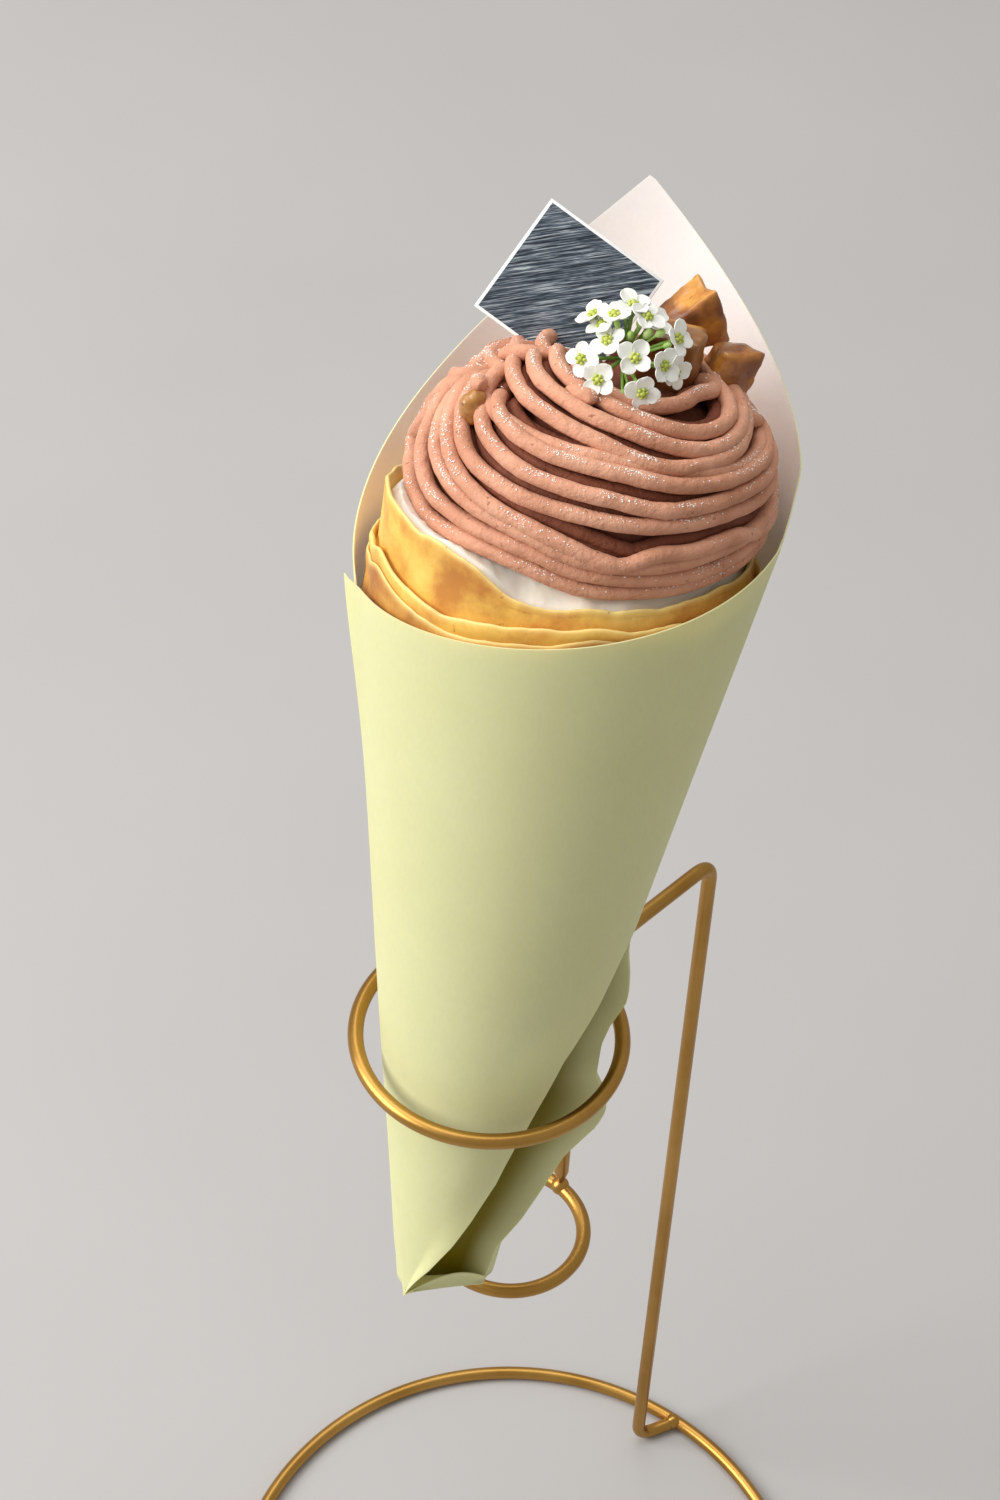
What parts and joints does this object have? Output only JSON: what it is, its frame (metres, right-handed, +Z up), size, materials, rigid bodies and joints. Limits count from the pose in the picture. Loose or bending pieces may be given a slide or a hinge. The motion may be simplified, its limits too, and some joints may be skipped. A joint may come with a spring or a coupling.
{
  "type": "crepe",
  "caption": "Filled crepe cone topped with piped chestnut cream, candied chestnuts, small flowers and a card, in a paper sleeve on a gold wire holder.",
  "frame": {"origin": "on the table surface, under the centre of the object's bounding box", "axes": "+Z up, +Y towards the back of the holder where the cone leans, +X to the right as seen from the open front"},
  "size_m": [0.1312, 0.1671, 0.3448],
  "materials": {
    "gold_wire": "satin",
    "green_paper": "matte",
    "crepe": "matte",
    "cream": "satin",
    "chestnut_cream": "matte",
    "candied_chestnut": "gloss",
    "flowers": "matte",
    "card": "brushed foil"
  },
  "bodies": {
    "root": {"base_ring": "gold_wire", "upper_ring": "gold_wire", "lower_ring": "gold_wire", "drop_link": "gold_wire", "post": "gold_wire", "paper_cone": "green_paper", "crepe": "crepe", "whipped_cream": "cream", "chestnut_cream": "chestnut_cream", "chestnut_1": "candied_chestnut", "chestnut_2": "candied_chestnut", "chestnut_3": "candied_chestnut", "flower_sprig": "flowers", "topper_card": "card"}
  },
  "joints": []
}
